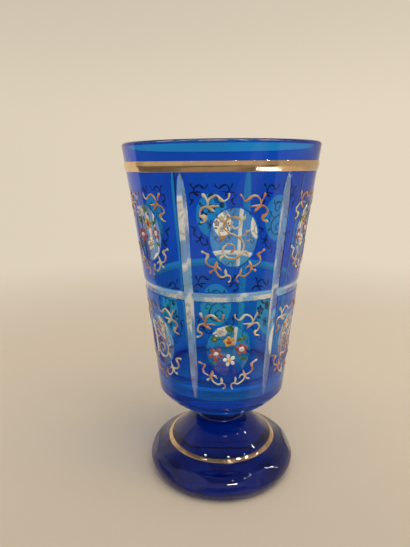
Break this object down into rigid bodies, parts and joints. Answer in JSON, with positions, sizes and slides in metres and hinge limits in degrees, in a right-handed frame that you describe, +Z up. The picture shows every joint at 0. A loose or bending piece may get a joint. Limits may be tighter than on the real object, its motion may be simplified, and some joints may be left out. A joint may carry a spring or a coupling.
{
  "type": "footed cased glass beaker",
  "caption": "Footed crystal beaker cased in cobalt glass, with mitre-cut panels, oval lens windows, a faceted foot and gilt bands.",
  "frame": {"origin": "centre of the ground base under the foot, on the surface that the beaker stands on", "axes": "+Z up along the axis of the beaker, -Y through the middle of the front panel"},
  "size_m": [0.084, 0.084, 0.151],
  "materials": {
    "crystal": "clear polished lead crystal",
    "cobalt_casing": "thin cobalt overlay, fire polished outside and cut through to the clear crystal",
    "cobalt_foot": "thick cobalt glass, wheel cut and polished",
    "gilding": "burnished fired gilding"
  },
  "bodies": {
    "root": {"bowl_crystal": "crystal", "casing_upper": "cobalt_casing", "casing_lower": "cobalt_casing", "rim_gilding": "gilding", "collar": "cobalt_foot", "foot": "cobalt_foot", "foot_gilding": "gilding"}
  },
  "joints": []
}
